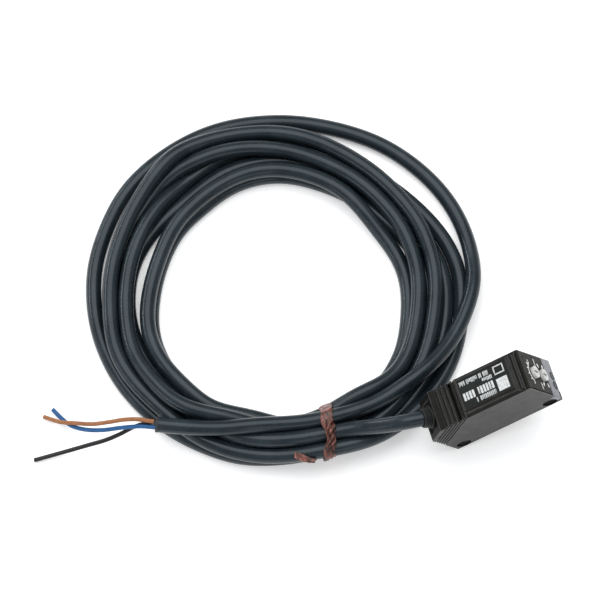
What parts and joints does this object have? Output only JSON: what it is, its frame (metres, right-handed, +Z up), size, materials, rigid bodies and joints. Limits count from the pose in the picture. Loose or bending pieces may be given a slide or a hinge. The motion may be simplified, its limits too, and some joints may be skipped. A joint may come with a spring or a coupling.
{
  "type": "photoelectric sensor",
  "caption": "Miniature rectangular diffuse photoelectric sensor with two adjusters, an indicator window and a coiled, tied cable ending in bare wires.",
  "frame": {"origin": "middle of the housing's footprint on the surface that the part stands on, cable and tie left out", "axes": "+Z up; +Y across the housing, through its two mounting holes, away from the viewer; +X along the housing's level direction, from the cable end to the indicator end"},
  "size_m": [0.1302, 0.1031, 0.0323],
  "materials": {
    "case_plastic": "fine moulded texture, satin",
    "label_film": "printed film, satin",
    "cover_plastic": "smoky olive moulding, gloss",
    "clear_plastic": "clear moulded plastic, polished",
    "circuit_board": "solder mask",
    "green_led": "unlit tinted lens",
    "orange_led": "unlit tinted lens",
    "knob_plastic": "cream moulding, satin",
    "seal_rubber": "smooth",
    "black_moulding": "matte",
    "contact_metal": "tin plated",
    "component_ceramic": "matte",
    "chip_plastic": "matte epoxy",
    "filter_plastic": "dark red optical filter, polished",
    "bushing_rubber": "satin",
    "cable_sheath": "extruded vinyl, satin",
    "brown_insulation": "extruded vinyl",
    "blue_insulation": "extruded vinyl",
    "black_insulation": "extruded vinyl",
    "tie_film": "crinkled plastic film over wire"
  },
  "bodies": {
    "housing": {"case_shell": "case_plastic", "label_plate": "label_film", "adjuster_cover": "cover_plastic", "indicator_window": "clear_plastic", "indicator_board": "circuit_board", "stability_led": "green_led", "operation_led": "orange_led", "sensitivity_seal": "seal_rubber", "mode_seal": "seal_rubber", "adjuster_frame": "black_moulding", "sensitivity_potentiometer": "component_ceramic", "mode_switch": "chip_plastic", "front_window": "filter_plastic", "emitter_lens": "clear_plastic", "receiver_lens": "clear_plastic", "optical_holder": "black_moulding", "emitter_led": "clear_plastic", "receiver_photodiode": "chip_plastic", "shield_can": "contact_metal", "main_circuit_board": "circuit_board", "control_ic": "chip_plastic", "output_transistor": "chip_plastic", "filter_capacitor": "contact_metal", "cable_bushing": "bushing_rubber", "cable_clamp": "contact_metal", "conductor_brown": "brown_insulation", "conductor_blue": "blue_insulation", "conductor_black": "black_insulation", "cable_lead": "cable_sheath", "cable_coil": "cable_sheath", "cable_tail": "cable_sheath", "twist_tie": "tie_film", "wire_brown": "brown_insulation", "wire_blue": "blue_insulation", "wire_black": "black_insulation"},
    "sensitivity_adjuster": {"sensitivity_knob": "knob_plastic", "sensitivity_rotor": "contact_metal"},
    "mode_selector": {"mode_knob": "knob_plastic", "mode_rotor": "contact_metal"}
  },
  "joints": [
    {"name": "sensitivity_turn", "type": "hinge", "parent": "housing", "child": "sensitivity_adjuster", "pos_m": [0.01168, 0, 0.02583], "axis": [0.8829, 0, 0.4695], "range_deg": [-120, 120]},
    {"name": "mode_turn", "type": "hinge", "parent": "housing", "child": "mode_selector", "pos_m": [0.01416, 0, 0.02115], "axis": [0.8829, 0, 0.4695], "range_deg": [0, 90]}
  ]
}
